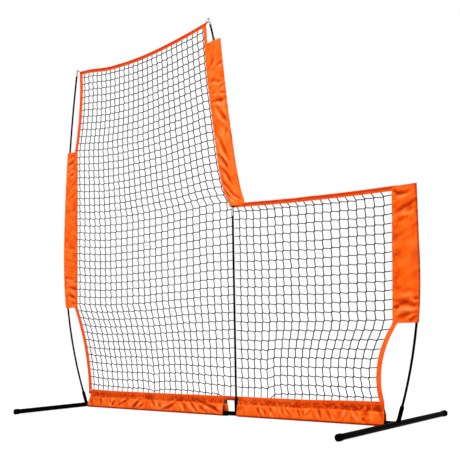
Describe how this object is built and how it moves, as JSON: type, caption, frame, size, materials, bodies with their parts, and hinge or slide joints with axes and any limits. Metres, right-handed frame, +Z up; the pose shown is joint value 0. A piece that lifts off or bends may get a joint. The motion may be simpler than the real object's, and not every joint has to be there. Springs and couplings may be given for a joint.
{
  "type": "pitching target net",
  "caption": "Portable L-shaped baseball pitching screen: black net in orange sleeves on bowed poles over a tubular knock-down base.",
  "frame": {"origin": "on the floor, under the middle of the screen's width and between the front and back foot caps", "axes": "+X along the net from the tall side to the low side, +Y from the front to the back, +Z up"},
  "size_m": [2.4182, 1.04, 2.1826],
  "materials": {
    "black_steel": "semi-gloss black powder coat",
    "rubber": "matt black",
    "fibreglass": "satin black fibreglass rod",
    "alloy": "brushed, slightly dulled",
    "steel_wire": "bright zinc plate",
    "button_steel": "bright nickel plate",
    "spring_steel": "oiled spring steel",
    "net_cord": "black knotted polyethylene twine",
    "binding_tape": "orange woven binding tape",
    "sleeve_nylon": "orange coated nylon"
  },
  "bodies": {
    "frame": {"foot_left": "black_steel", "foot_right": "black_steel", "base_tube_left": "black_steel", "base_tube_right": "black_steel", "centre_tee": "black_steel", "foot_cap_left_front": "rubber", "foot_cap_left_back": "rubber", "foot_cap_right_front": "rubber", "foot_cap_right_back": "rubber", "right_pole_cap": "rubber", "left_pole_lower": "fibreglass", "left_pole_upper": "fibreglass", "centre_pole_lower": "fibreglass", "centre_pole_upper": "fibreglass", "right_pole": "fibreglass", "left_pole_ferrule": "alloy", "left_pole_tip": "alloy", "centre_pole_ferrule": "alloy", "centre_pole_collar": "alloy", "centre_pole_tip": "alloy", "leaf_spring_foot_left": "spring_steel", "leaf_spring_tee_left": "spring_steel", "leaf_spring_tee_right": "spring_steel", "leaf_spring_foot_right": "spring_steel", "net_tall": "net_cord", "net_low": "net_cord", "left_binding": "binding_tape", "top_binding": "binding_tape", "centre_binding": "binding_tape", "low_top_binding": "binding_tape", "right_binding": "binding_tape", "bottom_binding": "binding_tape", "left_corner_loop": "binding_tape", "centre_corner_loop": "binding_tape", "left_sleeve": "sleeve_nylon", "centre_sleeve": "sleeve_nylon", "right_sleeve": "sleeve_nylon", "bottom_sleeve_left": "sleeve_nylon", "bottom_sleeve_right": "sleeve_nylon"},
    "left_link": {"left_link": "steel_wire"},
    "centre_link": {"centre_link": "steel_wire"},
    "snap_button_foot_left": {"snap_button_foot_left": "button_steel"},
    "snap_button_tee_left": {"snap_button_tee_left": "button_steel"},
    "snap_button_tee_right": {"snap_button_tee_right": "button_steel"},
    "snap_button_foot_right": {"snap_button_foot_right": "button_steel"}
  },
  "joints": [
    {"name": "left_link_swing", "type": "hinge", "parent": "frame", "child": "left_link", "pos_m": [-1.10391, 0, 2.14371], "axis": [0, 1, 0], "range_deg": [-5, 5], "stiffness_Nm_per_rad": 0.2},
    {"name": "centre_link_swing", "type": "hinge", "parent": "frame", "child": "centre_link", "pos_m": [0.02047, 0, 2.17715], "axis": [0, 1, 0], "range_deg": [-5, 5], "stiffness_Nm_per_rad": 0.2},
    {"name": "snap_button_foot_left_press", "type": "slide", "parent": "frame", "child": "snap_button_foot_left", "axis": [0, 0, -1], "range_m": [0, 0.0042], "stiffness_N_per_m": 2000, "springref_m": -0.001, "deforming": ["leaf_spring_foot_left"]},
    {"name": "snap_button_tee_left_press", "type": "slide", "parent": "frame", "child": "snap_button_tee_left", "axis": [0, 0, -1], "range_m": [0, 0.0042], "stiffness_N_per_m": 2000, "springref_m": -0.001, "deforming": ["leaf_spring_tee_left"]},
    {"name": "snap_button_tee_right_press", "type": "slide", "parent": "frame", "child": "snap_button_tee_right", "axis": [0, 0, -1], "range_m": [0, 0.0042], "stiffness_N_per_m": 2000, "springref_m": -0.001, "deforming": ["leaf_spring_tee_right"]},
    {"name": "snap_button_foot_right_press", "type": "slide", "parent": "frame", "child": "snap_button_foot_right", "axis": [0, 0, -1], "range_m": [0, 0.0042], "stiffness_N_per_m": 2000, "springref_m": -0.001, "deforming": ["leaf_spring_foot_right"]}
  ]
}
